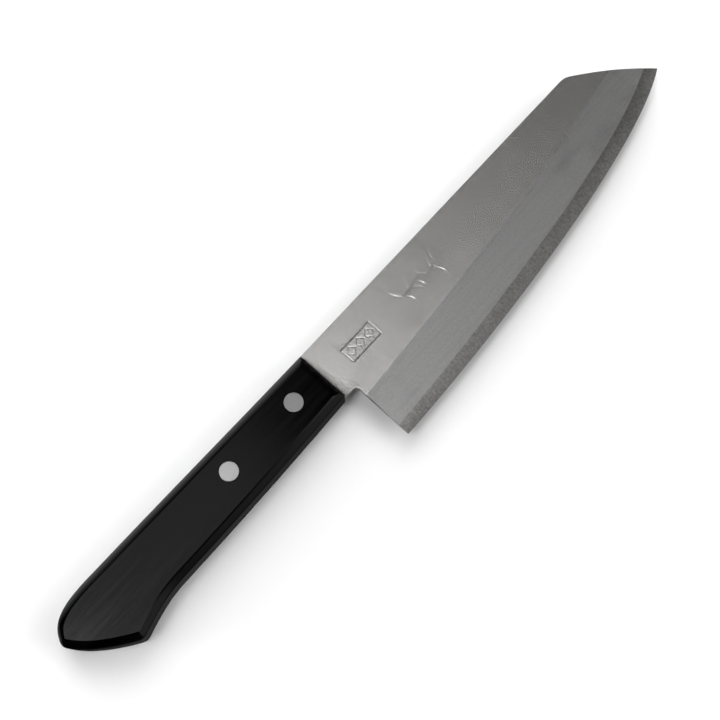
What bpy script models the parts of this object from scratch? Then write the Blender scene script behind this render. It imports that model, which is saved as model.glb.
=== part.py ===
"""Kitchen knife with a clipped tip, a three-layer blade and a black wood handle.

It lies on its left side. Everything is drawn in millimetres in one drawing
frame: x runs forward from the front end of the handle, y runs up from the
spine line, and z runs from the middle plane of the blade to its right side.
An empty carries that frame to the middle of the knife's footprint.
"""

import math

import bmesh
import bpy
import numpy as np

MM = 0.001

# Blade: plan shape
TIP = (154.5, -21.0)
TIP_EDGE_HANDLE = (123.1, -37.45)
HEEL = (4.9, -42.05)
HEEL_EDGE_HANDLE = (24.6, -42.05)
SPINE_Y = 0.0
CLIP_START_X = 128.0
CLIP_SHOULDER = (131.9, -1.0)
CHOIL_TOP = (5.3, -21.2)
NECK_Y = -19.5
NECK_CORNER_X = 3.7
SHOULDER_X = 0.05

# Blade: grinding lines, each as Bezier points (knot, handle, handle, knot, ...)
SHINOGI = [
    (4.9, -24.15), (35.0, -22.0), (70.0, -19.9), (100.0, -16.75),
    (112.0, -15.4), (122.0, -11.9), (141.7, -9.65),
]
EDGE = [HEEL, HEEL_EDGE_HANDLE, TIP_EDGE_HANDLE, TIP]
CORE_SHOWN_HEEL = 4.1
CORE_SHOWN_TIP = 5.0

# Blade: layers
BLADE_THICKNESS = 1.8
CORE_THICKNESS = 0.6
LAYER_GAP = 0.02
CLADDING_LIP = 0.05
EDGE_THICKNESS = 0.04
EDGE_CONVEXITY = 1.6
CORE_GRIND_STEPS = (0.35, 0.7, 1.0)
STATION_COUNT = 26
PAST_TIP = 1.05
PAST_OUTLINE = 2.0

# Tang, hidden in the handle except along the spine
TANG_END_X = -61.0
TANG_END_RADIUS = 4.0
TANG_TOP_FRONT_Y = -0.65
TANG_TOP_REAR_Y = -0.05
TANG_BELLY_FRONT_Y = -15.2
TANG_BELLY_REAR_Y = -13.0

# Handle
HANDLE_THICKNESS = 14.0
HANDLE_TOP_FRONT = (0.0, -0.6)
HANDLE_CREST = (-92.0, 0.1)
BUTT_CORNER = (-114.3, -8.6)
HOOK_CORNER = (-96.1, -25.5)
HOOK_END = (-71.4, -21.55)
HANDLE_BELLY_FRONT = (0.0, -19.75)
SPINE_BEVEL = 3.0
FRONT_BEVEL = 3.1
BELLY_BEVEL = 2.4
BUTT_BEVEL = 2.6
BEVEL_SEGMENTS = 3
SLOT_CLEARANCE = 0.4
SLOT_WIDTH = 1.9

# Rivets: a stem with a head on the right side, pressed into a socket from the left
RIVET_XS = {"front": -12.75, "rear": -42.05}
RIVET_Y = -9.65
HEAD_RADIUS = 3.12
HEAD_DEPTH = 2.0
SOCKET_RADIUS = 2.1
STEM_RADIUS = 1.2
STEM_CLEARANCE = 0.1
HOLE_CLEARANCE = 0.05
STEM_END_GAP = 0.3
SOCKET_END_GAP = 0.3
TURN_STEPS = 32

CURVE_RESOLUTION = 10
WELD_DISTANCE = 0.000001
FLAT_ANGLE = math.radians(0.05)
SMOOTH_ANGLE = math.radians(25)


def clear_scene():
    for old in list(bpy.data.objects):
        bpy.data.objects.remove(old, do_unlink=True)


def make_collection(name):
    collection = bpy.data.collections.new(name)
    bpy.context.scene.collection.children.link(collection)
    return collection


def make_material(name, color, roughness, metallic):
    material = bpy.data.materials.new(name)
    material.use_nodes = True
    shader = material.node_tree.nodes["Principled BSDF"]
    shader.inputs["Base Color"].default_value = (*color, 1.0)
    shader.inputs["Roughness"].default_value = roughness
    shader.inputs["Metallic"].default_value = metallic
    return material


def make_frame(collection):
    """The empty that carries the drawing frame."""
    frame = bpy.data.objects.new("drawing_frame", None)
    frame.location = (
        -MM * (TIP[0] + BUTT_CORNER[0]) / 2,
        -MM * (HANDLE_CREST[1] + HEEL[1]) / 2,
        MM * HANDLE_THICKNESS / 2,
    )
    collection.objects.link(frame)
    return frame


def place(name, mesh, collection, frame, material=None):
    obj = bpy.data.objects.new(name, mesh)
    obj.parent = frame
    collection.objects.link(obj)
    if material:
        mesh.materials.append(material)
    else:
        obj.hide_render = True
        obj.display_type = "WIRE"
    return obj


def add_boolean(obj, operation, cutter):
    modifier = obj.modifiers.new(f"{operation.lower()}_{cutter.name}", "BOOLEAN")
    modifier.operation = operation
    modifier.solver = "EXACT"
    modifier.object = cutter


def evaluated_mesh(obj):
    """The object's mesh with its modifiers applied; the object itself is removed."""
    bpy.context.scene.collection.objects.link(obj)
    depsgraph = bpy.context.evaluated_depsgraph_get()
    mesh = bpy.data.meshes.new_from_object(obj.evaluated_get(depsgraph))
    bpy.data.objects.remove(obj, do_unlink=True)
    return mesh


def turned_mesh(name, profile):
    """Solid turned about z from a profile of (radius, z), top to bottom outside."""
    points = [(radius * MM, 0, z * MM) for radius, z in profile]
    line = bpy.data.meshes.new(name)
    line.from_pydata(points, [(i, i + 1) for i in range(len(points) - 1)], [])
    drawn = bpy.data.objects.new(name, line)
    modifier = drawn.modifiers.new("turn", "SCREW")
    modifier.steps = TURN_STEPS
    modifier.render_steps = TURN_STEPS
    modifier.use_merge_vertices = True
    modifier.merge_threshold = WELD_DISTANCE
    mesh = evaluated_mesh(drawn)
    mesh.shade_smooth()
    mesh.set_sharp_from_angle(angle=SMOOTH_ANGLE)
    return mesh


def outline_mesh(name, knots, half_thickness):
    """Plate mesh from a closed Bezier outline of (point, handle in, handle out)."""
    curve = bpy.data.curves.new(name, "CURVE")
    curve.dimensions = "2D"
    curve.fill_mode = "BOTH"
    curve.extrude = half_thickness * MM
    curve.resolution_u = CURVE_RESOLUTION
    spline = curve.splines.new("BEZIER")
    spline.bezier_points.add(len(knots) - 1)
    spline.use_cyclic_u = True
    for bezier, (point, handle_in, handle_out) in zip(spline.bezier_points, knots):
        bezier.handle_left_type = "FREE"
        bezier.handle_right_type = "FREE"
        bezier.co = (point[0] * MM, point[1] * MM, 0)
        bezier.handle_left = (handle_in[0] * MM, handle_in[1] * MM, 0)
        bezier.handle_right = (handle_out[0] * MM, handle_out[1] * MM, 0)
    mesh = evaluated_mesh(bpy.data.objects.new(name, curve))
    weld_plate(mesh)
    return mesh


def weld_plate(mesh):
    """Join the caps to the rim and make each cap one face."""
    bm = bmesh.new()
    bm.from_mesh(mesh)
    bmesh.ops.remove_doubles(bm, verts=bm.verts, dist=WELD_DISTANCE)
    bmesh.ops.dissolve_limit(bm, angle_limit=FLAT_ANGLE, verts=bm.verts, edges=bm.edges)
    bmesh.ops.recalc_face_normals(bm, faces=bm.faces)
    bm.to_mesh(mesh)
    bm.free()


def knot(point, handle_in=None, handle_out=None):
    """An outline point; a side without a handle leaves it straight."""
    return (point, handle_in or point, handle_out or point)


def cubic(points, t):
    """Points at t on one cubic Bezier piece."""
    p0, p1, p2, p3 = (np.array(point) for point in points)
    t = np.asarray(t)[:, None]
    s = 1 - t
    return s**3 * p0 + 3 * s * s * t * p1 + 3 * s * t * t * p2 + t**3 * p3


def heights_along(knots, xs):
    """Heights at xs of a Bezier line, carried on past its last knot."""
    steps = np.linspace(0, 1, 40)
    pieces = [cubic(knots[i:i + 4], steps) for i in range(0, len(knots) - 1, 3)]
    line = np.concatenate(pieces)
    rise, run = (line[-1] - line[-3])[::-1]
    past = np.maximum(xs - line[-1][0], 0) * rise / run
    return np.interp(xs, line[:, 0], line[:, 1]) + past


def blade_stations():
    """(x, shinogi, cladding foot, edge) from behind the tang to past the tip."""
    t = np.linspace(0, PAST_TIP, STATION_COUNT)
    edge = cubic(EDGE, t)
    shown = CORE_SHOWN_HEEL + (CORE_SHOWN_TIP - CORE_SHOWN_HEEL) * np.minimum(t * 2, 1)
    shinogi = heights_along(SHINOGI, edge[:, 0])
    rows = [
        (x, ridge, y + width, y)
        for (x, y), ridge, width in zip(edge, shinogi, shown)
    ]
    behind = (TANG_END_X - PAST_OUTLINE, *rows[0][1:])
    return [behind, *rows]


def loft(name, sections):
    """Closed mesh through equal rings of (x, y, z) points."""
    bm = bmesh.new()
    rings = [[bm.verts.new([c * MM for c in point]) for point in ring] for ring in sections]
    count = len(rings[0])
    for ring, ahead in zip(rings, rings[1:]):
        for i in range(count):
            j = (i + 1) % count
            bm.faces.new((ring[i], ring[j], ahead[j], ahead[i]))
    bm.faces.new(rings[0])
    bm.faces.new(rings[-1])
    bmesh.ops.recalc_face_normals(bm, faces=bm.faces)
    mesh = bpy.data.meshes.new(name)
    bm.to_mesh(mesh)
    bm.free()
    return mesh


def core_mesh():
    """Middle layer: flat between the claddings, then ground convex to the edge."""
    top = SPINE_Y + PAST_OUTLINE
    half = CORE_THICKNESS / 2
    half_edge = EDGE_THICKNESS / 2
    sections = []
    for x, _, foot, edge in blade_stations():
        side = [(top, half), (foot, half)]
        for t in CORE_GRIND_STEPS:
            thickness = half_edge + (half - half_edge) * (1 - t**EDGE_CONVEXITY)
            side.append((foot + (edge - foot) * t, thickness))
        side.append((edge - PAST_OUTLINE, half_edge))
        ring = [(x, y, z) for y, z in side]
        ring += [(x, y, -z) for y, z in reversed(side)]
        sections.append(ring)
    return loft("blade_core", sections)


def cladding_mesh(name, side):
    """Outer layer on one side: flat down to the shinogi, then a plane to its foot."""
    top = SPINE_Y + PAST_OUTLINE
    inner = CORE_THICKNESS / 2 + LAYER_GAP
    outer = BLADE_THICKNESS / 2
    sections = []
    for x, shinogi, foot, _ in blade_stations():
        ring = [
            (x, top, side * inner),
            (x, top, side * outer),
            (x, shinogi, side * outer),
            (x, foot, side * (inner + CLADDING_LIP)),
            (x, foot, side * inner),
        ]
        sections.append(ring)
    return loft(name, sections)


def blade_outline():
    """Plan outline of the whole blade with its tang."""
    end = TANG_END_X
    radius = TANG_END_RADIUS
    bend = TANG_BELLY_REAR_Y + radius
    return [
        knot((SHOULDER_X, SPINE_Y)),
        knot((CLIP_START_X, SPINE_Y), None, (129.8, SPINE_Y)),
        knot(CLIP_SHOULDER, (130.5, -0.2), (138.9, -5.9)),
        knot(TIP, (147.6, -13.3), TIP_EDGE_HANDLE),
        knot(HEEL, HEEL_EDGE_HANDLE, None),
        knot(CHOIL_TOP, None, (5.3, -20.2)),
        knot((NECK_CORNER_X, NECK_Y), (4.7, NECK_Y), None),
        knot((SHOULDER_X, NECK_Y)),
        knot((SHOULDER_X, TANG_BELLY_FRONT_Y)),
        knot((end + radius, TANG_BELLY_REAR_Y), None, (end + radius / 2, TANG_BELLY_REAR_Y)),
        knot((end, bend), (end, bend - radius / 2), None),
        knot((end, TANG_TOP_REAR_Y)),
        knot((SHOULDER_X, TANG_TOP_FRONT_Y)),
    ]


def slot_outline():
    """Plan outline of the cut that takes the tang, open at the front and the spine."""
    end = TANG_END_X - SLOT_CLEARANCE
    rear_floor = TANG_BELLY_REAR_Y - SLOT_CLEARANCE
    front_floor = TANG_BELLY_FRONT_Y - SLOT_CLEARANCE
    radius = TANG_END_RADIUS
    bend = rear_floor + radius
    above = HANDLE_CREST[1] + PAST_OUTLINE
    return [
        knot((PAST_OUTLINE, above)),
        knot((PAST_OUTLINE, front_floor)),
        knot((0.0, front_floor)),
        knot((end + radius, rear_floor), None, (end + radius / 2, rear_floor)),
        knot((end, bend), (end, bend - radius / 2), None),
        knot((end, above)),
    ]


def handle_outline():
    return [
        knot(HANDLE_TOP_FRONT, (-30.0, -0.5), None),
        knot(HANDLE_BELLY_FRONT, None, (-20.0, -20.6)),
        knot(HOOK_END, (-45.0, -21.4), (-78.4, -21.65)),
        knot(HOOK_CORNER, (-82.2, -21.15), (-105.0, -20.2)),
        knot(BUTT_CORNER, (-111.8, -14.0), (-111.9, -3.1)),
        knot(HANDLE_CREST, (-109.6, 0.6), (-62.0, HANDLE_CREST[1])),
    ]


def rim_bevel(middle):
    """Bevel width of the rim where its edge has this middle point."""
    x, y = middle[0] / MM, middle[1] / MM
    chord = (HOOK_CORNER[0] - BUTT_CORNER[0], HOOK_CORNER[1] - BUTT_CORNER[1])
    side = chord[0] * (y - BUTT_CORNER[1]) - chord[1] * (x - BUTT_CORNER[0])
    if side < 0:
        return BUTT_BEVEL
    if x > -WELD_DISTANCE / MM:
        return FRONT_BEVEL
    return SPINE_BEVEL if y > RIVET_Y else BELLY_BEVEL


def weigh_rims(mesh, half_thickness):
    """Give each edge of both flat faces its share of the widest bevel."""
    widest = max(SPINE_BEVEL, FRONT_BEVEL, BELLY_BEVEL, BUTT_BEVEL)
    weights = mesh.attributes.new("bevel_weight_edge", "FLOAT", "EDGE")
    for edge in mesh.edges:
        a, b = (mesh.vertices[i].co for i in edge.vertices)
        on_face = min(abs(a.z), abs(b.z)) > half_thickness * MM - WELD_DISTANCE
        if on_face and a.z * b.z > 0:
            weights.data[edge.index].value = rim_bevel((a + b) / 2) / widest
    return widest * MM


def stem_profile():
    face = HANDLE_THICKNESS / 2
    under_head = face - HEAD_DEPTH
    end = -under_head + STEM_END_GAP
    return [
        (0, face), (HEAD_RADIUS, face), (HEAD_RADIUS, under_head),
        (STEM_RADIUS, under_head), (STEM_RADIUS, end), (0, end),
    ]


def socket_profile():
    face = -HANDLE_THICKNESS / 2
    over_head = face + HEAD_DEPTH
    mouth = -over_head - SOCKET_END_GAP
    bore = STEM_RADIUS + STEM_CLEARANCE
    return [
        (0, over_head), (bore, over_head), (bore, mouth),
        (SOCKET_RADIUS, mouth), (SOCKET_RADIUS, over_head),
        (HEAD_RADIUS, over_head), (HEAD_RADIUS, face), (0, face),
    ]


def hole_profile():
    """Stepped hole for a whole rivet, through the handle and the tang."""
    past = HANDLE_THICKNESS / 2 + PAST_OUTLINE
    step = HANDLE_THICKNESS / 2 - HEAD_DEPTH - HOLE_CLEARANCE
    head = HEAD_RADIUS + HOLE_CLEARANCE
    shank = SOCKET_RADIUS + HOLE_CLEARANCE
    return [
        (0, past), (head, past), (head, step), (shank, step),
        (shank, -step), (head, -step), (head, -past), (0, -past),
    ]


def make_hole(name, x, cutters, frame):
    hole = place(name, turned_mesh(name, hole_profile()), cutters, frame)
    hole.location = (x * MM, RIVET_Y * MM, 0)
    return hole


def make_rivet(end, x, parts, frame, material):
    for piece, profile in (("stem", stem_profile()), ("socket", socket_profile())):
        name = f"rivet_{end}_{piece}"
        rivet = place(name, turned_mesh(name, profile), parts, frame, material)
        rivet.location = (x * MM, RIVET_Y * MM, 0)


def make_blade(parts, cutters, frame, holes):
    plan = place(
        "blade_plan", outline_mesh("blade_plan", blade_outline(), PAST_OUTLINE), cutters, frame
    )
    core_steel = make_material("core_steel", (0.33, 0.33, 0.34), 0.32, 1.0)
    clad_steel = make_material("cladding_steel", (0.55, 0.55, 0.55), 0.38, 1.0)
    layers = [
        place("blade_core", core_mesh(), parts, frame, core_steel),
        place("cladding_right", cladding_mesh("cladding_right", 1), parts, frame, clad_steel),
        place("cladding_left", cladding_mesh("cladding_left", -1), parts, frame, clad_steel),
    ]
    for layer in layers:
        add_boolean(layer, "INTERSECT", plan)
        for hole in holes:
            add_boolean(layer, "DIFFERENCE", hole)


def make_handle(parts, cutters, frame, holes):
    half = HANDLE_THICKNESS / 2
    wood = make_material("black_laminated_wood", (0.012, 0.012, 0.013), 0.38, 0.0)
    mesh = outline_mesh("handle", handle_outline(), half)
    handle = place("handle", mesh, parts, frame, wood)
    bevel = handle.modifiers.new("chamfers", "BEVEL")
    bevel.limit_method = "WEIGHT"
    bevel.width = weigh_rims(mesh, half)
    bevel.segments = BEVEL_SEGMENTS
    bevel.use_clamp_overlap = False
    slot = place(
        "tang_slot", outline_mesh("tang_slot", slot_outline(), SLOT_WIDTH / 2), cutters, frame
    )
    for cutter in (slot, *holes):
        add_boolean(handle, "DIFFERENCE", cutter)
    handle.data.shade_smooth()
    handle.data.set_sharp_from_angle(angle=SMOOTH_ANGLE)


def main():
    clear_scene()
    parts = make_collection("clipped_tip_kitchen_knife")
    cutters = make_collection("cutters")
    frame = make_frame(parts)
    holes = [make_hole(f"hole_{end}", x, cutters, frame) for end, x in RIVET_XS.items()]
    make_blade(parts, cutters, frame, holes)
    make_handle(parts, cutters, frame, holes)
    rivet_steel = make_material("rivet_steel", (0.62, 0.61, 0.60), 0.3, 1.0)
    for end, x in RIVET_XS.items():
        make_rivet(end, x, parts, frame, rivet_steel)


main()
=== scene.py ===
"""Looks of the clipped-tip kitchen knife: fine meshes, materials, light and camera.

Lengths in the drawing frame are millimetres, as in the CAD: x runs forward
from the front end of the handle, y up from the spine line, and z from the
middle plane of the blade to its right side.
"""

import math

import bmesh
import bpy
import numpy as np
from mathutils import Matrix, Vector


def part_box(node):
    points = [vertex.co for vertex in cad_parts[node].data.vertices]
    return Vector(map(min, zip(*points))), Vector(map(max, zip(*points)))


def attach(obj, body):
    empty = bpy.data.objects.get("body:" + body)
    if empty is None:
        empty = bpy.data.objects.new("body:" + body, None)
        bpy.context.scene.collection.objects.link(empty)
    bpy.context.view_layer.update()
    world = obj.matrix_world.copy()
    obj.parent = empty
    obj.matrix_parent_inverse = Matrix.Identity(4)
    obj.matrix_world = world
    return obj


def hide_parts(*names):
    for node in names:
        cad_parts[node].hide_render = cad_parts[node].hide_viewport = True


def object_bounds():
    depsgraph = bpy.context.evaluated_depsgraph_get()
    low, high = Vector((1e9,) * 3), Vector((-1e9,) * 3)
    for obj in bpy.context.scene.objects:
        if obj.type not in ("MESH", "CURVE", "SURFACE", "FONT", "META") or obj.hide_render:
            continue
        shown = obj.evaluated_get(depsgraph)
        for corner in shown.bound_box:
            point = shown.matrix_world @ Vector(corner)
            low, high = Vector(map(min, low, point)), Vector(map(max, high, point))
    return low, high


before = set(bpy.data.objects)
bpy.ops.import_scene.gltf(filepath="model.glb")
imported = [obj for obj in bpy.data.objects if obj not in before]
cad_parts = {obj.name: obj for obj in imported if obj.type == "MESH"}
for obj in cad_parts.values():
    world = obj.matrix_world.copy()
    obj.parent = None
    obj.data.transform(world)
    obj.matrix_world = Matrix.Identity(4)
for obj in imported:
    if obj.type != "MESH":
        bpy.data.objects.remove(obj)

cad_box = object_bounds()
MM = 0.001
WELD_DISTANCE = 0.0000005

# Drawing frame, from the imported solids
handle_low, handle_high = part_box("handle")
core_low, core_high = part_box("blade_core")
ORIGIN = Vector((handle_high.x, core_high.y, (core_low.z + core_high.z) / 2))
HALF_HANDLE = (handle_high.z - handle_low.z) / 2 / MM
HALF_CORE = (core_high.z - core_low.z) / 2 / MM
HALF_BLADE = (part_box("cladding_right")[1].z - ORIGIN.z) / MM

# Blade outline
TIP = (154.5, -21.0)
HEEL = (4.9, -42.05)
EDGE = [HEEL, (24.6, -42.05), (123.1, -37.45), TIP]
SHINOGI = [
    (4.9, -24.15), (35.0, -22.0), (70.0, -19.9), (100.0, -16.75),
    (112.0, -15.4), (122.0, -11.9), (141.7, -9.65),
]
CORE_SHOWN_HEEL = 4.1
CORE_SHOWN_TIP = 5.0
NECK_Y = -19.5
CHOIL_TOP_Y = -21.2
CHOIL_BEND = [(3.7, NECK_Y), (4.7, NECK_Y), (5.3, -20.2), (5.3, CHOIL_TOP_Y)]
CHOIL_LOW = (4.95, SHINOGI[0][1] + 0.05)
SHOULDER_X = 0.05
TANG_END_X = -61.0
TANG_END_RADIUS = 4.0
TANG_BELLY_REAR_Y = -13.0
TANG_BELLY_FRONT_Y = -15.2
TANG_TOP_Y = (-0.65, -0.05)

# Rivets
RIVET_XS = {"front": -12.75, "rear": -42.05}
RIVET_Y = -9.65
HEAD_RADIUS = 3.12
HEAD_DEPTH = 2.0
SHANK_RADIUS = 2.1
STEM_RADIUS = 1.2
SHANK_CLEARANCE = 0.05
SHANK_STEPS = 64
HEAD_CLEARANCE = 0.03
SEAT_CLEARANCE = 0.02
BORE_CLEARANCE = 0.1
END_GAP = 0.3
EDGE_BREAK = 0.08
RIVET_STEPS = 96
RIVET_CREASE = 30


# ---------------------------------------------------------------- helpers

def cubic(points, t):
    """Points at t on one cubic Bezier piece."""
    p0, p1, p2, p3 = (np.array(point, float) for point in points)
    t = np.asarray(t)[:, None]
    s = 1 - t
    return s**3 * p0 + 3 * s * s * t * p1 + 3 * s * t * t * p2 + t**3 * p3


def heights_along(knots, xs):
    """Heights at xs of a Bezier line, carried on past its last knot."""
    steps = np.linspace(0, 1, 60)
    pieces = [cubic(knots[i:i + 4], steps) for i in range(0, len(knots) - 1, 3)]
    line = np.concatenate(pieces)
    rise, run = (line[-1] - line[-3])[::-1]
    past = np.maximum(xs - line[-1][0], 0) * rise / run
    return np.interp(xs, line[:, 0], line[:, 1]) + past


def smooth_path(knots, steps):
    """Closed outline from (point, handle in, handle out), as an array of points."""
    path = []
    for i, (point, _, handle_out) in enumerate(knots):
        ahead, handle_in, _ = knots[(i + 1) % len(knots)]
        straight = tuple(handle_out) == tuple(point) and tuple(handle_in) == tuple(ahead)
        t = [0.0] if straight else np.linspace(0, 1, steps, endpoint=False)
        path.extend(cubic([point, handle_out, handle_in, ahead], t))
    return np.array(path)


def knot(point, handle_in=None, handle_out=None):
    """A point of an outline; a missing handle means a straight run on that side."""
    return (point, handle_in or point, handle_out or point)


def row(point):
    """A drawing-frame point in the row frame, in metres."""
    return ORIGIN + Vector(point) * MM


def mesh_object(name, bm):
    """Object from a finished bmesh, with its faces turned outward."""
    bmesh.ops.recalc_face_normals(bm, faces=bm.faces)
    mesh = bpy.data.meshes.new(name)
    bm.to_mesh(mesh)
    bm.free()
    obj = bpy.data.objects.new(name, mesh)
    bpy.context.scene.collection.objects.link(obj)
    return obj


def loft(name, sections):
    """Closed mesh through equal rings of drawing-frame points."""
    bm = bmesh.new()
    rings = [[bm.verts.new(row(point)) for point in ring] for ring in sections]
    count = len(rings[0])
    for ring, ahead in zip(rings, rings[1:]):
        for i in range(count):
            j = (i + 1) % count
            bm.faces.new((ring[i], ring[j], ahead[j], ahead[i]))
    bm.faces.new(rings[0])
    bm.faces.new(rings[-1])
    return mesh_object(name, bm)


def prism(name, path, low, high):
    """Closed plate mesh between two heights over a closed plan path."""
    return loft(name, [[(x, y, low) for x, y in path], [(x, y, high) for x, y in path]])


def cut(obj, operation, cutter, keep_cutter=False):
    """Apply a Boolean to obj."""
    modifier = obj.modifiers.new(operation, "BOOLEAN")
    modifier.operation = operation
    modifier.solver = "EXACT"
    modifier.object = cutter
    apply_modifiers(obj)
    if not keep_cutter:
        bpy.data.objects.remove(cutter, do_unlink=True)


def apply_modifiers(obj):
    """Turn the modifiers' result into the object's own mesh."""
    depsgraph = bpy.context.evaluated_depsgraph_get()
    mesh = bpy.data.meshes.new_from_object(obj.evaluated_get(depsgraph))
    obj.modifiers.clear()
    old = obj.data
    obj.data = mesh
    bpy.data.meshes.remove(old)


def weld(obj):
    """Join points that the cuts have left on top of each other."""
    bm = bmesh.new()
    bm.from_mesh(obj.data)
    bmesh.ops.remove_doubles(bm, verts=bm.verts, dist=WELD_DISTANCE)
    bmesh.ops.dissolve_degenerate(bm, edges=bm.edges, dist=WELD_DISTANCE)
    bm.to_mesh(obj.data)
    bm.free()


def smooth(obj, degrees):
    """Smooth shading, with creases where faces meet at more than an angle."""
    obj.data.shade_smooth()
    obj.data.set_sharp_from_angle(angle=math.radians(degrees))


def stand_for(obj, node):
    """The piece shows in place of a CAD node, which is hidden."""
    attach(obj, "root")
    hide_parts(node)


# ---------------------------------------------------------------- blade

CURVE_STEPS = 48
BEND_STEPS = 12
STATIONS = 140
PAST_TIP = 1.05
PAST = 2.0
EDGE_THICKNESS = 0.04
EDGE_CONVEXITY = 1.6
EDGE_STEPS = 8
CLADDING_FOOT = 0.05
LAYER_GAP = 0.004
SPINE_EASE = 0.12
FACE_TOLERANCE = 0.001
PLACE_TOLERANCE = 0.01
WALL_TILT = 0.5
UPWARD = 0.1
# Chamfer at the neck and the choil: widths at the shoulder, the bend and the shinogi
CHAMFER_WIDTHS = (0.12, 0.15, 1.0)
CHAMFER_SLOPE = 0.45
# How far its cutter starts behind the shoulder, laps the flat, leaves the wall and stands up
CUTTER_START = 0.5
CUTTER_LAP = 0.2
CUTTER_PAST = 0.6
CUTTER_RISE = 1.0

# Engraved marks on the right side
STAMP_CENTRE = (17.0, -11.0)
STAMP_SIZE = (13.0, 5.6)
FRAME_WIDTH = 0.6
FRAME_LONG_DEPTH = 0.045
FRAME_SHORT_DEPTH = 0.014
STROKE_WIDTH = 0.55
STROKE_DEPTH = 0.032
LOZENGE_MIDDLES = (-4.0, 0.0, 4.0)
LOZENGE_REACH = 1.75
LOZENGE_RISE = 1.75
LEAF_BOW = 0.12
LEAF_DEPTH = 0.042
TWIG_DEPTH = 0.05
# Start, end and step of the fine grid, in x and in the share of the way to the shinogi
MARKED_XS = (8.5, 59.0, 0.11)
MARKED_SHARES = (0.1, 0.8, 0.005)
PLANE = 0.9999999
BLADE_CREASE = 20
SPRIG_STEMS = [
    [(34.2, -10.6), (39.0, -11.6), (43.0, -10.2), (46.2, -9.6)],
    [(47.6, -12.4), (50.5, -11.4), (54.5, -9.6), (57.6, -7.2)],
]
# x, y, length, angle from +x, width
SPRIG_LEAVES = [
    (37.2, -11.1, 5.2, 118, 0.75), (37.6, -11.2, 4.4, -66, 0.7), (40.0, -11.0, 4.6, 62, 0.75),
    (40.6, -11.0, 4.6, -38, 0.7), (43.0, -10.4, 4.2, 48, 0.7), (43.4, -10.4, 3.6, -56, 0.65),
    (49.0, -12.0, 5.4, 128, 0.75), (50.4, -11.5, 4.8, 64, 0.75), (50.8, -11.4, 5.2, -62, 0.75),
    (53.0, -10.4, 4.8, 70, 0.7), (53.8, -10.0, 4.6, -34, 0.7), (55.6, -8.8, 3.6, 40, 0.65),
]


def blade_stations(extra=()):
    """(x, shinogi, cladding foot, edge) from behind the tang to past the tip."""
    t = np.linspace(0, PAST_TIP, STATIONS)
    edge = cubic(EDGE, t)
    shown = CORE_SHOWN_HEEL + (CORE_SHOWN_TIP - CORE_SHOWN_HEEL) * np.minimum(t * 2, 1)
    xs = np.union1d(edge[:, 0], extra)
    shinogi = heights_along(SHINOGI, xs)
    low = np.interp(xs, edge[:, 0], edge[:, 1])
    foot = low + np.interp(xs, edge[:, 0], shown)
    rows = list(zip(xs, shinogi, foot, low))
    behind = (TANG_END_X - PAST, *rows[0][1:])
    return [behind, *rows]


def blade_path():
    """Outline of the blade and its tang."""
    end = TANG_END_X
    radius = TANG_END_RADIUS
    bend = TANG_BELLY_REAR_Y + radius
    knots = [
        knot((SHOULDER_X, 0.0)),
        knot((128.0, 0.0), None, (129.8, 0.0)),
        knot((131.9, -1.0), (130.5, -0.2), (138.9, -5.9)),
        knot(TIP, (147.6, -13.3), EDGE[2]),
        knot(HEEL, EDGE[1], None),
        knot(CHOIL_BEND[3], None, CHOIL_BEND[2]),
        knot(CHOIL_BEND[0], CHOIL_BEND[1], None),
        knot((SHOULDER_X, NECK_Y)),
        knot((SHOULDER_X, TANG_BELLY_FRONT_Y)),
        knot((end + radius, TANG_BELLY_REAR_Y), None, (end + radius / 2, TANG_BELLY_REAR_Y)),
        knot((end, bend), (end, bend - radius / 2), None),
        knot((end, TANG_TOP_Y[1])),
        knot((SHOULDER_X, TANG_TOP_Y[0])),
    ]
    return smooth_path(knots, CURVE_STEPS)


def core_piece(plan):
    """Middle layer, thinned to the cutting edge in a convex curve."""
    sections = []
    for x, _, foot, edge in blade_stations():
        side = [(PAST, HALF_CORE), (foot, HALF_CORE)]
        for t in np.linspace(0, 1, EDGE_STEPS + 1)[1:]:
            fall = (HALF_CORE - EDGE_THICKNESS / 2) * (1 - t**EDGE_CONVEXITY)
            side.append((foot + (edge - foot) * t, EDGE_THICKNESS / 2 + fall))
        side.append((edge - PAST, EDGE_THICKNESS / 2))
        ring = [(x, y, z) for y, z in side]
        ring += [(x, y, -z) for y, z in reversed(side)]
        sections.append(ring)
    core = loft("core_layer", sections)
    cut(core, "INTERSECT", plan, keep_cutter=True)
    return core


def cladding_piece(name, side, plan, marked=False):
    """One outer layer; the marked one has a fine grid to press the marks into."""
    inner = HALF_CORE + LAYER_GAP
    shares = np.arange(*MARKED_SHARES) if marked else ()
    extra_xs = np.arange(*MARKED_XS) if marked else ()
    sections = []
    for x, shinogi, foot, _ in blade_stations(extra_xs):
        sections.append([
            (x, PAST, side * inner),
            (x, PAST, side * HALF_BLADE),
            *((x, shinogi * share, side * HALF_BLADE) for share in shares),
            (x, shinogi, side * HALF_BLADE),
            (x, foot, side * (inner + CLADDING_FOOT)),
            (x, foot, side * inner),
        ])
    cladding = loft(name, sections)
    cut(cladding, "INTERSECT", plan, keep_cutter=True)
    return cladding


def rivet_shank(x):
    """Cutter for the rivet's hole through the blade's tang."""
    angles = np.linspace(0, 2 * math.pi, SHANK_STEPS, endpoint=False)
    radius = SHANK_RADIUS + SHANK_CLEARANCE
    circle = [(x + radius * math.cos(a), RIVET_Y + radius * math.sin(a)) for a in angles]
    return prism("shank_hole", circle, -PAST, PAST)


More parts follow.
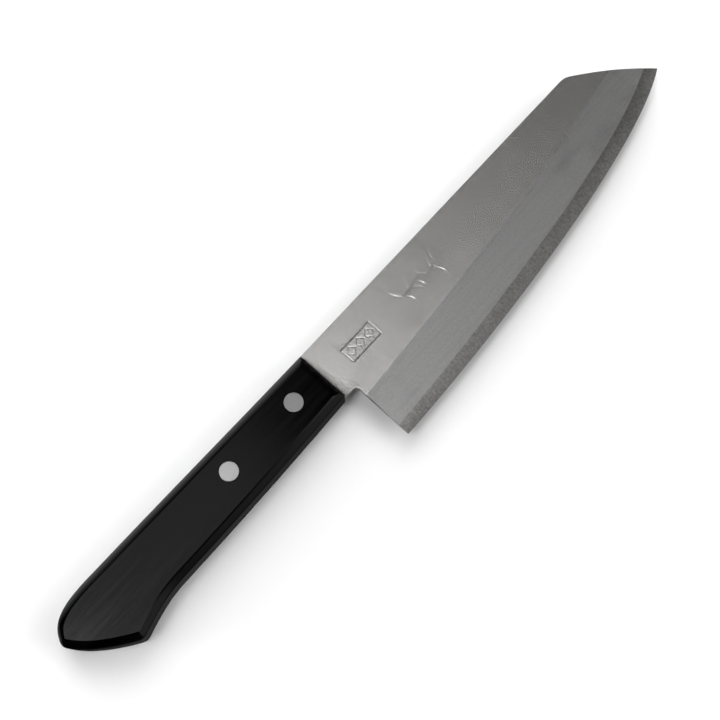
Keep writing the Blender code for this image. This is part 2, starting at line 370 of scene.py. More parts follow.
def on_ridge(edge, side):
    """Whether an edge borders the spine or the clip on the blade's outer face."""
    ends = [(vert.co - ORIGIN) / MM for vert in edge.verts]
    walls = [face for face in edge.link_faces if abs(face.normal.z) < WALL_TILT]
    on_face = all(abs(end.z - side * HALF_BLADE) < FACE_TOLERANCE for end in ends)
    ahead_of_handle = all(end.x > SHOULDER_X - PLACE_TOLERANCE for end in ends)
    above_choil = all(end.y > CHOIL_TOP_Y for end in ends)
    upward = bool(walls) and walls[0].normal.y > UPWARD
    return on_face and ahead_of_handle and above_choil and upward


def ease_spine(cladding, side):
    """Break the outer edges of the spine and the clip."""
    bm = bmesh.new()
    bm.from_mesh(cladding.data)
    ridge = [edge for edge in bm.edges if on_ridge(edge, side)]
    bmesh.ops.bevel(bm, geom=ridge, offset=SPINE_EASE * MM, segments=2, affect="EDGES")
    bm.to_mesh(cladding.data)
    bm.free()


def chamfer_cutter(side):
    """Sloping cutter along the neck's underside and down the choil to the shinogi."""
    bend = cubic(CHOIL_BEND, np.linspace(0, 1, BEND_STEPS + 1))
    path = np.vstack([(SHOULDER_X - CUTTER_START, NECK_Y), bend, CHOIL_LOW])
    gaps = np.diff(path, axis=0)
    lengths = np.linalg.norm(gaps, axis=1)
    gaps /= lengths[:, None]
    step = np.vstack([gaps[:1], gaps[1:] + gaps[:-1], gaps[-1:]])
    step /= np.linalg.norm(step, axis=1)[:, None]
    inward = np.stack([-step[:, 1], step[:, 0]], axis=1)
    along = np.concatenate([[0], np.cumsum(lengths)])
    widths = np.interp(along, [0, along[1], along[-1]], CHAMFER_WIDTHS)
    sections = []
    for point, into, width in zip(path, inward, widths):
        corners = [
            (width + CUTTER_LAP, CUTTER_LAP * CHAMFER_SLOPE),
            (-CUTTER_PAST, -(width + CUTTER_PAST) * CHAMFER_SLOPE),
            (-CUTTER_PAST, CUTTER_RISE),
        ]
        sections.append([
            (*(point + into * inset), side * (HALF_BLADE + rise)) for inset, rise in corners
        ])
    return loft("choil_chamfer", sections)


def tapered(path, width, depth, blunt):
    """Segments of a stroke: start, end, and half width and depth at both."""
    share = np.maximum(np.sin(math.pi * np.linspace(0, 1, len(path))) ** 0.6, blunt)
    return [
        (path[i], path[i + 1], width / 2 * share[i:i + 2], depth * share[i:i + 2])
        for i in range(len(path) - 1)
    ]


def stamp_marks():
    """A frame around three lozenges."""
    def loop(corners, width, depths):
        placed = [np.array(STAMP_CENTRE) + corner for corner in corners]
        pairs = zip(placed, placed[1:] + placed[:1], depths * 2)
        return [part for start, end, depth in pairs
                for part in tapered(np.linspace(start, end, 2), width, depth, 1.0)]

    right, top = STAMP_SIZE[0] / 2, STAMP_SIZE[1] / 2
    frame_corners = [(-right, -top), (right, -top), (right, top), (-right, top)]
    strokes = loop(frame_corners, FRAME_WIDTH, [FRAME_LONG_DEPTH, FRAME_SHORT_DEPTH])
    for middle in LOZENGE_MIDDLES:
        corners = [
            (middle - LOZENGE_REACH, 0), (middle, -LOZENGE_RISE),
            (middle + LOZENGE_REACH, 0), (middle, LOZENGE_RISE),
        ]
        strokes += loop(corners, STROKE_WIDTH, [STROKE_DEPTH, STROKE_DEPTH])
    return strokes


def sprig_marks():
    """A sprig of bamboo: two thin stems and lens-shaped leaves."""
    t = np.linspace(0, 1, 10)
    strokes = []
    for stem in SPRIG_STEMS:
        strokes += tapered(cubic(stem, t), STROKE_WIDTH, TWIG_DEPTH, 0.4)
    for x, y, length, angle, width in SPRIG_LEAVES:
        aim = math.radians(angle)
        end = (x + length * math.cos(aim), y + length * math.sin(aim))
        bow = (LEAF_BOW * length * -math.sin(aim), LEAF_BOW * length * math.cos(aim))
        middle = ((x + end[0]) / 2 + bow[0], (y + end[1]) / 2 + bow[1])
        strokes += tapered(cubic([(x, y), middle, middle, end], t), width, LEAF_DEPTH, 0.15)
    return strokes


def pressed_depth(points, strokes):
    """How deep the marks are at each point of the flat."""
    depth = np.zeros(len(points))
    for start, end, half_widths, depths in strokes:
        reach = max(half_widths)
        low, high = np.minimum(start, end) - reach, np.maximum(start, end) + reach
        near = np.flatnonzero(((points > low) & (points < high)).all(axis=1))
        run = end - start
        t = np.clip((points[near] - start) @ run / (run @ run), 0, 1)
        gap = np.linalg.norm(points[near] - start - t[:, None] * run, axis=1)
        half = half_widths[0] + t * (half_widths[1] - half_widths[0])
        deep = depths[0] + t * (depths[1] - depths[0])
        depth[near] = np.maximum(depth[near], deep * np.maximum(1 - (gap / half) ** 2, 0) ** 2)
    return depth


def engrave(cladding):
    """Press the marks into the flat."""
    mesh = cladding.data
    points = np.array([(vert.co - ORIGIN) / MM for vert in mesh.vertices])
    on_face = np.flatnonzero(np.abs(points[:, 2] - HALF_BLADE) < FACE_TOLERANCE)
    depth = pressed_depth(points[on_face, :2], stamp_marks() + sprig_marks())
    for i, deep in zip(on_face, depth):
        mesh.vertices[i].co.z -= deep * MM


def shade_blade(obj):
    """Curved and engraved faces are smooth; the plane ones stay plane."""
    smooth(obj, BLADE_CREASE)
    for face in obj.data.polygons:
        face.use_smooth = abs(face.normal.z) < PLANE


def make_blade():
    """Core and two claddings, cut to one outline, with their holes, chamfers and marks."""
    plan = prism("blade_plan", blade_path(), -PAST, PAST)
    pieces = {
        "blade_core": (core_piece(plan), "core_steel"),
        "cladding_right": (cladding_piece("cladding_right_fine", 1, plan, True), "cladding_steel"),
        "cladding_left": (cladding_piece("cladding_left_fine", -1, plan), "cladding_steel"),
    }
    bpy.data.objects.remove(plan, do_unlink=True)
    for side, node in ((1, "cladding_right"), (-1, "cladding_left")):
        cladding = pieces[node][0]
        ease_spine(cladding, side)
        cut(cladding, "DIFFERENCE", chamfer_cutter(side))
    for piece, _ in pieces.values():
        for x in RIVET_XS.values():
            cut(piece, "DIFFERENCE", rivet_shank(x))
        weld(piece)
    engrave(pieces["cladding_right"][0])
    for node, (piece, slot_name) in pieces.items():
        shade_blade(piece)
        stand_for(piece, node)
    return {node: piece for node, (piece, _) in pieces.items()}


blade = make_blade()


# ---------------------------------------------------------------- handle

HANDLE_TOP_FRONT = (0.0, -0.6)
HANDLE_CREST = (-92.0, 0.1)
BUTT_CORNER = (-114.3, -8.6)
HOOK_CORNER = (-96.1, -25.5)
HOOK_END = (-71.4, -21.55)
HANDLE_BELLY_FRONT = (0.0, -19.75)
HANDLE_STEPS = 64
CREASE_MARGIN = 0.08
HANDLE_CREASE = 18
# Depths below the face at which the rim's outline is drawn
RIM_DROPS = np.concatenate([
    np.linspace(0, 0.12, 4), np.linspace(0.2, 0.7, 6), np.linspace(0.85, 3.3, 16),
])
SLOT_CLEARANCE = 0.03
SLOT_MARGIN = 0.2


def ellipse_inset(width, depth, crease):
    """Inset of a rounded chamfer at a height above where it leaves the wall."""
    reach = width / (1 - math.sqrt(1 - crease**2))

    def inset(height):
        s = min(max(height / depth, 0.0), 1.0)
        return reach * (1 - math.sqrt(1 - (crease * s) ** 2))

    return depth, inset


def eased_chamfer(width, depth, wall_share, crease_share, crease_slope):
    """Inset of a flat chamfer, eased where it leaves the wall and where it meets the flat."""
    shares = np.linspace(0, 1, 61)
    slopes = np.interp(shares, [0, wall_share, 1 - crease_share, 1], [0, 1, 1, crease_slope])
    reach = np.concatenate([[0], np.cumsum(slopes[1:] + slopes[:-1])])

    def inset(height):
        return float(np.interp(height / depth, shares, reach * width / reach[-1]))

    return depth, inset


def two_facet_inset(width, depth, split_width, split_height):
    """Inset of a chamfer with a steep outer facet and a shallow inner one."""
    def inset(height):
        if height <= 0:
            return 0.0
        if height < split_height:
            return split_width * height / split_height
        return split_width + (width - split_width) * (height - split_height) / (depth - split_height)

    return depth, inset


RIMS = {
    "front": two_facet_inset(width=3.1, depth=2.7, split_width=1.2, split_height=2.0),
    "belly": eased_chamfer(2.4, 2.6, wall_share=0.4, crease_share=0.12, crease_slope=2.2),
    "butt": eased_chamfer(2.6, 2.6, wall_share=0.5, crease_share=0.05, crease_slope=1.5),
    "top": ellipse_inset(width=3.0, depth=3.2, crease=0.8),
}
# At the ends of the front, the belly, the butt and the top
CORNER_RADII = (0.3, 1.6, 1.4, 0.4)
CRISP_RADIUS = 0.06
CORNER_STEPS = 6
CORNER_PULL = 0.6
# The top rim narrows to this share at the butt corner, over this length
BUTT_END_SHARE = 0.72
BUTT_END_LENGTH = 16.0
CARRY_ON = 6.0
SIDE_POINTS = {"front": 12, "belly": 90, "butt": 40, "top": 110}


def handle_sides():
    """The outline as runs of points: (side, points), each starting at a corner."""
    def run(*pieces):
        t = np.linspace(0, 1, HANDLE_STEPS)
        parts = [cubic(piece, t) for piece in pieces]
        return np.concatenate([parts[0]] + [part[1:] for part in parts[1:]])

    front = run([HANDLE_TOP_FRONT, (0, -6), (0, -13), HANDLE_BELLY_FRONT])
    belly = run(
        [HANDLE_BELLY_FRONT, (-20.0, -20.6), (-45.0, -21.4), HOOK_END],
        [HOOK_END, (-78.4, -21.65), (-82.2, -21.15), HOOK_CORNER],
    )
    butt = run([HOOK_CORNER, (-105.0, -20.2), (-111.8, -14.0), BUTT_CORNER])
    top = run(
        [BUTT_CORNER, (-111.9, -3.1), (-109.6, 0.6), HANDLE_CREST],
        [HANDLE_CREST, (-62.0, 0.1), (-30.0, -0.5), HANDLE_TOP_FRONT],
    )
    return [("front", front), ("belly", belly), ("butt", butt), ("top", top)]


def moved_in(points, inset):
    """A run moved in by an inset at each of its points, and carried on past both ends."""
    step = np.diff(points, axis=0)
    step /= np.linalg.norm(step, axis=1)[:, None]
    normal = np.stack([step[:, 1], -step[:, 0]], axis=1)
    middle = np.vstack([normal[:1], normal[1:] + normal[:-1], normal[-1:]])
    middle /= np.linalg.norm(middle, axis=1)[:, None]
    moved = points + middle * np.reshape(inset, (-1, 1))
    return np.vstack([moved[0] - step[0] * CARRY_ON, moved, moved[-1] + step[-1] * CARRY_ON])


def lengths_along(run):
    return np.concatenate([[0], np.cumsum(np.linalg.norm(np.diff(run, axis=0), axis=1))])


def crossing(run, ahead):
    """Lengths along two runs at which the end of one crosses the start of the next."""
    a, b = run[:-1, None], np.diff(run, axis=0)[:, None]
    c, d = ahead[None, :-1], np.diff(ahead, axis=0)[None]
    gap = c - a
    area = b[..., 0] * d[..., 1] - b[..., 1] * d[..., 0]
    area = np.where(np.abs(area) < 1e-12, np.nan, area)
    s = (gap[..., 0] * d[..., 1] - gap[..., 1] * d[..., 0]) / area
    t = (gap[..., 0] * b[..., 1] - gap[..., 1] * b[..., 0]) / area
    i, j = np.argwhere((s >= 0) & (s <= 1) & (t >= 0) & (t <= 1))[-1]
    length = lengths_along(run)
    length_ahead = lengths_along(ahead)
    return (
        length[i] + s[i, j] * (length[i + 1] - length[i]),
        length_ahead[j] + t[i, j] * (length_ahead[j + 1] - length_ahead[j]),
    )


def points_at(run, lengths):
    """Points of a run at given lengths along it."""
    along = lengths_along(run)
    return np.stack([np.interp(lengths, along, run[:, axis]) for axis in (0, 1)], axis=1)


def rim_shares(side, points):
    """Share of the full rim width at each point of a side."""
    if side != "top":
        return np.ones(len(points))
    return np.interp(lengths_along(points), [0, BUTT_END_LENGTH], [BUTT_END_SHARE, 1])


def corner_bend(start, corner, end):
    """Rounded corner between two points, pulled toward where the sides would cross."""
    pulled = [corner * CORNER_PULL + point * (1 - CORNER_PULL) for point in (start, end)]
    return cubic([start, *pulled, end], np.linspace(0, 1, CORNER_STEPS + 2)[1:-1])


def handle_ring(height, extra=0.0):
    """Handle outline at a height above its middle plane, as (x, y) points."""
    sides = handle_sides()
    runs, shares = [], []
    for side, points in sides:
        depth, inset = RIMS[side]
        climb = height - (HALF_HANDLE - depth)
        runs.append(moved_in(points, inset(climb) * rim_shares(side, points) + extra))
        shares.append(min(max(climb / depth, 0.0), 1.0))
    count = len(runs)
    meets = [crossing(runs[i], runs[(i + 1) % count]) for i in range(count)]
    radii = [
        max(radius * (1 - share), CRISP_RADIUS)
        for radius, share in zip(CORNER_RADII, shares)
    ]
    ring = []
    for i, (side, _) in enumerate(sides):
        start, end = meets[i - 1][1], meets[i][0]
        steps = SIDE_POINTS[side]
        side_points = points_at(runs[i], np.linspace(start + radii[i - 1], end - radii[i], steps))
        ahead = (i + 1) % count
        corner = points_at(runs[i], [end])[0]
        beyond = points_at(runs[ahead], [meets[i][1] + radii[i]])[0]
        ring.extend(side_points)
        ring.extend(corner_bend(side_points[-1], corner, beyond))
    return ring


def whole_handle():
    """The handle before its slot and holes are cut."""
    upper = [[(x, y, HALF_HANDLE) for x, y in handle_ring(HALF_HANDLE, CREASE_MARGIN)]]
    for drop in [*RIM_DROPS, HALF_HANDLE]:
        height = HALF_HANDLE - drop
        upper.append([(x, y, height) for x, y in handle_ring(height)])
    lower = [[(x, y, -z) for x, y, z in ring] for ring in reversed(upper[:-1])]
    return loft("handle_body", upper + lower)


def tang_slot():
    """Cutter for the slot that the tang sits in, open at the front and the top."""
    front_y = TANG_BELLY_FRONT_Y - SLOT_MARGIN
    rear_y = TANG_BELLY_REAR_Y - SLOT_MARGIN
    end_x = TANG_END_X - SLOT_MARGIN
    path = [
        (PAST, PAST), (PAST, front_y), (0, front_y),
        (TANG_END_X + TANG_END_RADIUS, rear_y), (TANG_END_X + 1.2, TANG_BELLY_REAR_Y + 1.0),
        (end_x, TANG_BELLY_REAR_Y + TANG_END_RADIUS), (end_x, PAST),
    ]
    half_slot = HALF_BLADE + SLOT_CLEARANCE
    return prism("slot", path, -half_slot, half_slot)


def make_handle():
    """Handle with its slot and its rivet holes."""
    handle = whole_handle()
    cut(handle, "DIFFERENCE", tang_slot())
    for x in RIVET_XS.values():
        cut(handle, "DIFFERENCE", rivet_hole(x))
    weld(handle)
    smooth(handle, HANDLE_CREASE)
    stand_for(handle, "handle")
    return handle


def turned(name, profile, x):
    """Solid turned about the rivet's axis from a (radius, z) profile that ends on it."""
    angles = np.linspace(0, 2 * math.pi, RIVET_STEPS, endpoint=False)
    bm = bmesh.new()
    rings = []
    for radius, z in profile:
        if radius == 0:
            rings.append([bm.verts.new(row((x, RIVET_Y, z)))] * RIVET_STEPS)
        else:
            rings.append([
                bm.verts.new(row((x + radius * math.cos(a), RIVET_Y + radius * math.sin(a), z)))
                for a in angles
            ])
    for ring, ahead in zip(rings, rings[1:]):
        for i in range(RIVET_STEPS):
            j = (i + 1) % RIVET_STEPS
            corners = []
            for vert in (ring[i], ring[j], ahead[j], ahead[i]):
                if vert not in corners:
                    corners.append(vert)
            bm.faces.new(corners)
    return mesh_object(name, bm)


def rivet_hole(x):
    """Cutter for the stepped hole through the handle."""
    step = HALF_HANDLE - HEAD_DEPTH - SEAT_CLEARANCE
    head = HEAD_RADIUS + HEAD_CLEARANCE
    shank = SHANK_RADIUS + SHANK_CLEARANCE
    past = HALF_HANDLE + PAST
    return turned("rivet_hole", [
        (0, past), (head, past), (head, step), (shank, step),
        (shank, -step), (head, -step), (head, -past), (0, -past),
    ], x)


handle = make_handle()


# ---------------------------------------------------------------- rivets

def make_rivet(end, x):
    """Stem with its head on the right, in a socket with its head on the left."""
    face = HALF_HANDLE
    under = face - HEAD_DEPTH
    stem = turned(f"rivet_{end}_stem_fine", [
        (0, face), (HEAD_RADIUS - EDGE_BREAK, face), (HEAD_RADIUS, face - EDGE_BREAK),
        (HEAD_RADIUS, under), (STEM_RADIUS, under), (STEM_RADIUS, END_GAP - under), (0, END_GAP - under),
    ], x)
    bore = STEM_RADIUS + BORE_CLEARANCE
    socket = turned(f"rivet_{end}_socket_fine", [
        (0, -under), (bore, -under), (bore, under - END_GAP), (SHANK_RADIUS, under - END_GAP),
        (SHANK_RADIUS, -under), (HEAD_RADIUS, -under), (HEAD_RADIUS, EDGE_BREAK - face),
        (HEAD_RADIUS - EDGE_BREAK, -face), (0, -face),
    ], x)
    for piece, kind in ((stem, "stem"), (socket, "socket")):
        smooth(piece, RIVET_CREASE)
        stand_for(piece, f"rivet_{end}_{kind}")
    return [stem, socket]


rivets = {end: make_rivet(end, x) for end, x in RIVET_XS.items()}


# ---------------------------------------------------------------- materials

# Steel: swings of the roughness, depth of the scratches in metres, noise scales per metre
ROUGHNESS_SWING = 0.006
CLOUD_SWING = 0.003
SCRATCH_DEPTH = 0.0000001
CLOUD_SCALE = (45, 70, 60)
GRAIN_SCALE = (1500, 1300, 1300)
LAY_TURN = 0.04
CROSSED_TURN = -0.09
ANISOTROPY_TURN = 0.25
# Painted shade on the steel in front of the handle: length, unevenness, light, extra at the spine
SHADE_LENGTH = 4.0
SHADE_SWING = 0.3
SHADE_LIGHT = 0.5
SHADE_RISE = 0.5
# Wood: lengths along and across the grain in metres
STREAK = (0.03, 0.0009)
PORE = (0.006, 0.00022)
BAND = (0.06, 0.005)
WOOD_TURN = 0.02
WOOD_DARK = (0.0001, 0.0001, 0.0001)
WOOD_LIGHT = (0.0022, 0.0022, 0.0023)
WOOD_ROUGHNESS = (0.09, 0.17)
WOOD_RELIEF = 0.000005
WOOD_INDEX = 1.42
# Rivet faces: lengths along and across the polishing lines
POLISH = (0.003, 0.00012)
POLISH_TURN = 0.5
POLISH_DEPTH = 0.0000005
POLISH_ROUGHNESS = (0.32, 0.34)
# The range that a noise mostly stays in
NOISE_RANGE = (0.3, 0.7)
CHOIL_END_X = 7.0
CHOIL_TILT = 0.98
FINISH_MARGIN = 1.0
BEVEL_SLOT = 1
CHOIL_SLOT = 2


class Nodes:
    """Small helper that adds and links shader nodes."""

    def __init__(self, name):
        self.material = bpy.data.materials.new(name)
        self.material.use_nodes = True
        self.tree = self.material.node_tree
        self.shader = self.tree.nodes["Principled BSDF"]

    def add(self, kind, **settings):
        node = self.tree.nodes.new(kind)
        for key, value in settings.items():
            setattr(node, key, value)
        return node

    def link(self, source, target):
        self.tree.links.new(source, target)

    def place(self, scale, turn=0.0):
        """Object coordinates, scaled along each axis and turned about z."""
        coordinates = self.add("ShaderNodeTexCoord")
        mapping = self.add("ShaderNodeMapping")
        mapping.inputs["Scale"].default_value = scale
        mapping.inputs["Rotation"].default_value = (0, 0, turn)
        self.link(coordinates.outputs["Object"], mapping.inputs["Vector"])
        return mapping.outputs["Vector"]

    def noise(self, vector, detail):
        node = self.add("ShaderNodeTexNoise")
        node.inputs["Scale"].default_value = 1.0
        node.inputs["Detail"].default_value = detail
        self.link(vector, node.inputs["Vector"])
        return node.outputs["Fac"]

    def grain(self, lengths, turn, detail):
        """Noise of a given length along x, and another in y and z."""
        along, across = lengths
        return self.noise(self.place((1 / along, 1 / across, 1 / across), turn), detail)

    def spread(self, value, low, high, to_low, to_high):
        node = self.add("ShaderNodeMapRange")
        for key, number in (
            ("From Min", low), ("From Max", high), ("To Min", to_low), ("To Max", to_high),
        ):
            node.inputs[key].default_value = number
        self.link(value, node.inputs["Value"])
        return node.outputs["Result"]

    def ramp(self, value, stops):
        node = self.add("ShaderNodeValToRGB")
        elements = node.color_ramp.elements
        while len(elements) < len(stops):
            elements.new(0.5)
        for element, (position, color) in zip(elements, stops):
            element.position = position
            element.color = (*color, 1.0)
        self.link(value, node.inputs["Fac"])
        return node.outputs["Color"]

    def calculate(self, operation, a, b):
        node = self.add("ShaderNodeMath", operation=operation)
        for socket, value in zip(node.inputs, (a, b)):
            if isinstance(value, (int, float)):
                socket.default_value = value
            else:
                self.link(value, socket)
        return node.outputs["Value"]

    def total(self, a, b):
        return self.calculate("ADD", a, b)

    def average(self, a, b):
        return self.calculate("MULTIPLY", self.total(a, b), 0.5)

    def bump(self, height, distance):
        node = self.add("ShaderNodeBump")
        node.inputs["Strength"].default_value = 1.0
        node.inputs["Distance"].default_value = distance
        self.link(height, node.inputs["Height"])
        return node.outputs["Normal"]

    def painted_handle_shade(self, cloud):
        """Painted shade in front of the handle: darkest at the handle front near the neck, uneven,
        fading out forwards and toward the spine.
        """
        coordinates = self.add("ShaderNodeTexCoord")
        axes = self.add("ShaderNodeSeparateXYZ")
        self.link(coordinates.outputs["Object"], axes.inputs["Vector"])
        front = ORIGIN.x
        fade = self.spread(axes.outputs["X"], front, front + SHADE_LENGTH * MM, 0, 1)
        neck, spine = ORIGIN.y + NECK_Y * MM, ORIGIN.y
        rise = self.spread(axes.outputs["Y"], neck, spine, 0, SHADE_RISE)
        uneven = self.spread(cloud, *NOISE_RANGE, -SHADE_SWING, SHADE_SWING)
        reached = self.add("ShaderNodeClamp")
        self.link(self.total(self.total(fade, rise), uneven), reached.inputs["Value"])
        return self.spread(reached.outputs["Result"], 0, 1, SHADE_LIGHT, 1)

    def darkened(self, color, share):
        node = self.add("ShaderNodeVectorMath", operation="SCALE")
        self.link(color, node.inputs["Vector"])
        self.link(share, node.inputs["Scale"])
        return node.outputs["Vector"]

    def set(self, **values):
        for key, value in values.items():
            self.shader.inputs[key.replace("_", " ")].default_value = value

    def drive(self, socket, value):
        self.link(value, self.shader.inputs[socket])


def gray(value, tint=(1.0, 1.0, 1.0)):
    return tuple(value * part for part in tint)


def brushed_steel(name, light, tint, rough, lay, contrast, anisotropy, metallic=1.0):
    """Ground steel: scratches of a given length in x and y, and a fine grain."""
    n = Nodes(name)
    along_x, along_y = lay
    fine = n.noise(n.place((1 / along_x, 1 / along_y, 100), LAY_TURN), detail=3.0)
    crossed = n.noise(n.place((0.4 / along_x, 0.7 / along_y, 100), CROSSED_TURN), detail=2.0)
    cloud = n.noise(n.place(CLOUD_SCALE), detail=3.0)
    grain = n.noise(n.place(GRAIN_SCALE), detail=2.0)
    scratches = n.average(fine, crossed)
    color = n.ramp(n.average(scratches, grain), [
        (0.38, gray(light * (1 - contrast), tint)), (0.62, gray(light * (1 + contrast), tint)),
    ])
    # The base colour is darkened by the painted shade in front of the handle
    n.drive("Base Color", n.darkened(color, n.painted_handle_shade(cloud)))
    roughness = n.total(
        n.spread(fine, *NOISE_RANGE, rough - ROUGHNESS_SWING, rough + ROUGHNESS_SWING),
        n.spread(cloud, *NOISE_RANGE, -CLOUD_SWING, CLOUD_SWING),
    )
    n.drive("Roughness", roughness)
    n.drive("Normal", n.bump(scratches, SCRATCH_DEPTH))
    tangent = n.add("ShaderNodeTangent", direction_type="RADIAL", axis="X")
    n.drive("Tangent", tangent.outputs["Tangent"])
    n.set(Metallic=metallic, Anisotropic=anisotropy, Anisotropic_Rotation=ANISOTROPY_TURN)
    return n.material


def wood():
    """Black resin-filled veneer: thin long streaks and a satin surface."""
    n = Nodes("black_laminated_wood_fine")
    streak = n.grain(STREAK, WOOD_TURN, detail=4.0)
    pore = n.grain(PORE, WOOD_TURN, detail=2.0)
    band = n.grain(BAND, WOOD_TURN, detail=2.0)
    figure = n.average(streak, band)
    n.drive("Base Color", n.ramp(figure, [(0.45, WOOD_DARK), (0.66, WOOD_LIGHT)]))
    n.drive("Roughness", n.spread(n.total(figure, pore), 0.7, 1.3, *WOOD_ROUGHNESS))
    n.drive("Normal", n.bump(n.total(streak, pore), WOOD_RELIEF))
    n.set(Metallic=0.0, IOR=WOOD_INDEX)
    return n.material


def rivet_steel(name, light):
    """Plain polished steel with faint slanting lines."""
    n = Nodes(name)
    line = n.grain(POLISH, POLISH_TURN, detail=3.0)
    n.drive("Base Color", n.ramp(line, [(0.35, gray(light * 0.95)), (0.65, gray(light * 1.05))]))
    n.drive("Roughness", n.spread(line, *NOISE_RANGE, *POLISH_ROUGHNESS))
    n.drive("Normal", n.bump(line, POLISH_DEPTH))
    n.set(Metallic=1.0)
    return n.material


def paint(obj, *materials):
    """Give an object these materials in this order."""
    obj.data.materials.clear()
    for material in materials:
        obj.data.materials.append(material)


def part_finishes(obj):
    """Give the ground bevel and the filed choil their own materials."""
    for face in obj.data.polygons:
        x, y, _ = (face.center - ORIGIN) / MM
        limit = heights_along(SHINOGI, np.array([x]))[0]
        if x > HEEL[0] - FINISH_MARGIN and y < limit - PLACE_TOLERANCE:
            face.material_index = BEVEL_SLOT
        elif SHOULDER_X < x < CHOIL_END_X and y < NECK_Y + FINISH_MARGIN:
            if abs(face.normal.z) < CHOIL_TILT:
                face.material_index = CHOIL_SLOT


# Painted light and shade: both rivets are the same steel, but the rear one's colour is painted lighter
# than the front one's
RIVET_PAINTED_LIGHTNESS = {"front": 0.5, "rear": 0.6}
# Lengths of the scratches in x and y
ACROSS = (0.00022, 0.006)
LENGTHWISE = (0.03, 0.0008)
CROSS_GRIND = (0.0003, 0.0018)
WARM = (1.02, 1.0, 0.975)
NEUTRAL = (1.0, 1.0, 0.99)
flat_steel = brushed_steel(
    "satin_flat", light=0.64, tint=WARM, rough=0.24, lay=ACROSS, contrast=0.14, anisotropy=0.8,
)
bevel_steel = brushed_steel(
    "ground_bevel", light=0.41, tint=NEUTRAL, rough=0.39, lay=LENGTHWISE, contrast=0.07,
    anisotropy=0.4,
)
choil_steel = brushed_steel(
    "filed_choil", light=0.68, tint=WARM, rough=0.5, lay=CROSS_GRIND, contrast=0.05,
    anisotropy=0.0, metallic=0.4,
)
edge_steel = brushed_steel(
    "cross_ground_edge", light=0.31, tint=WARM, rough=0.34, lay=CROSS_GRIND, contrast=0.22,
    anisotropy=0.5,
)
paint(blade["blade_core"], edge_steel, edge_steel, choil_steel)
part_finishes(blade["blade_core"])
for node in ("cladding_right", "cladding_left"):
    piece = blade[node]
    paint(piece, flat_steel, bevel_steel, choil_steel)
    part_finishes(piece)
paint(handle, wood())
for end, light in RIVET_PAINTED_LIGHTNESS.items():
    rivet_finish = rivet_steel(f"rivet_{end}_face", light)
    for piece in rivets[end]:
        paint(piece, rivet_finish)


# ---------------------------------------------------------------- stage

CAMERA_AIM = (12.48, -14.69, 0.0)
CAMERA_DISTANCE = 446.3
CAMERA_TILT = 14.0
KNIFE_TURN = 47.83
FOCAL_LENGTH = 70.0
SENSOR = 36.0
NEAR_LIMIT = 0.01
FLOOR_SIZE = 3.0
FLOOR_GAP = 0.0002
FLOOR_LIGHT = 0.9
FLOOR_ROUGHNESS = 0.9

# Soft round lights that the steel and the wood reflect: azimuth from the view's right,
# angle from straight above, radius, softness of the rim (all in degrees), strength
SOFT_LIGHTS = {
    "main": (208, 19.5, 5.5, 7, 13),
    "panel": (185, 13.5, 15.3, 1.2, 0.58),
    "right": (7, 53, 20, 14, 3.2),
    "far_low": (119, 102, 30, 20, 1.0),
    "near_low": (295, 140, 35, 15, 0.09),
    "left_low": (192, 125, 25, 14, 0.35),
    "belly": (343, 82, 22, 10, 0.42),
    "beyond_tip": (67, 30, 6, 8, 0.05),
}
# Broad lights for the table, which the steel doesn't mirror: azimuth, angle from straight
# above, width, strength
TABLE_LIGHTS = {
    "table_far": (95, 50, 60, 1.7),
    "table_wide": (115, 60, 90, 0.95),
    "table_left": (185, 78, 15, 1.25),
}


def turned_frame():
    """Axes in the row frame: the view's right and up along the table, and straight up."""
    turn = Matrix.Rotation(math.radians(-KNIFE_TURN), 3, "Z")
    return turn @ Vector((1, 0, 0)), turn @ Vector((0, 1, 0)), Vector((0, 0, 1))


def toward(azimuth, lean):
    """Direction at an azimuth from the view's right and an angle from straight above."""
    right, up, out = turned_frame()
    turn, tilt = math.radians(azimuth), math.radians(lean)
    level = right * math.cos(turn) + up * math.sin(turn)
    return level * math.sin(tilt) + out * math.cos(tilt)


def make_camera():
    """Camera above the knife, leaning a little toward its near side."""
    tilt = math.radians(CAMERA_TILT)
    distance = CAMERA_DISTANCE * MM
    right, up, out = turned_frame()
    camera = bpy.data.objects.new("camera", bpy.data.cameras.new("camera"))
    camera.data.lens = FOCAL_LENGTH
    camera.data.sensor_width = SENSOR
    back = out * math.cos(tilt) - up * math.sin(tilt)
    top = up * math.cos(tilt) + out * math.sin(tilt)
    camera.matrix_world = Matrix((
        (right.x, top.x, back.x, 0), (right.y, top.y, back.y, 0),
        (right.z, top.z, back.z, 0), (0, 0, 0, 1),
    ))
    camera.location = row(CAMERA_AIM) + back * distance
    camera.data.clip_start = NEAR_LIMIT
    bpy.context.scene.collection.objects.link(camera)
    bpy.context.scene.camera = camera


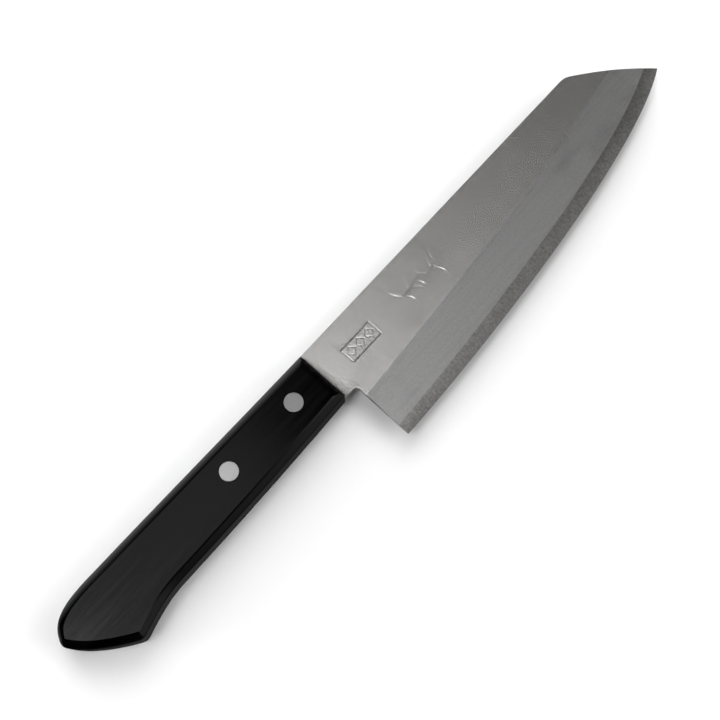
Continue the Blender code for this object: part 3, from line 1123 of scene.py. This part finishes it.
def make_floor():
    """Plain pale table just under the knife."""
    bm = bmesh.new()
    bmesh.ops.create_grid(bm, x_segments=1, y_segments=1, size=FLOOR_SIZE)
    floor = mesh_object("floor", bm)
    floor.location = (0, 0, cad_box[0].z - FLOOR_GAP)
    material = bpy.data.materials.new("floor")
    material.use_nodes = True
    shader = material.node_tree.nodes["Principled BSDF"]
    shader.inputs["Base Color"].default_value = (*gray(FLOOR_LIGHT), 1)
    shader.inputs["Roughness"].default_value = FLOOR_ROUGHNESS
    paint(floor, material)
    floor.visible_glossy = False


def soft_light(tree, direction, azimuth, lean, radius, softness, strength):
    """Brightness that one soft round light gives to a direction."""
    nearness = tree.nodes.new("ShaderNodeVectorMath")
    nearness.operation = "DOT_PRODUCT"
    nearness.inputs[1].default_value = toward(azimuth, lean)
    tree.links.new(direction, nearness.inputs[0])
    glow = tree.nodes.new("ShaderNodeMapRange")
    glow.interpolation_type = "SMOOTHSTEP"
    glow.inputs["From Min"].default_value = math.cos(math.radians(radius + softness))
    glow.inputs["From Max"].default_value = math.cos(math.radians(max(radius - softness, 0)))
    glow.inputs["To Max"].default_value = strength
    tree.links.new(nearness.outputs["Value"], glow.inputs["Value"])
    return glow.outputs["Result"]


def make_world():
    """A dark studio with soft round lights far off."""
    world = bpy.data.worlds.new("studio")
    world.use_nodes = True
    tree = world.node_tree
    direction = tree.nodes.new("ShaderNodeTexCoord").outputs["Generated"]
    glows = [soft_light(tree, direction, *light) for light in SOFT_LIGHTS.values()]
    total = glows[0]
    for glow in glows[1:]:
        together = tree.nodes.new("ShaderNodeMath")
        tree.links.new(glow, together.inputs[0])
        tree.links.new(total, together.inputs[1])
        total = together.outputs["Value"]
    tree.links.new(total, tree.nodes["Background"].inputs["Strength"])
    tree.nodes["Background"].inputs["Color"].default_value = (1, 1, 1, 1)
    bpy.context.scene.world = world


def make_table_lights():
    """Suns that light the table and are not mirrored in the knife."""
    for name, (azimuth, lean, width, strength) in TABLE_LIGHTS.items():
        sun = bpy.data.lights.new(name, "SUN")
        sun.angle = math.radians(width)
        sun.energy = strength
        light = bpy.data.objects.new(name, sun)
        light.rotation_mode = "QUATERNION"
        light.rotation_quaternion = toward(azimuth, lean).to_track_quat("Z", "Y")
        light.visible_glossy = False
        bpy.context.scene.collection.objects.link(light)


make_camera()
make_floor()
make_world()
make_table_lights()
bpy.context.scene.view_settings.view_transform = "Standard"
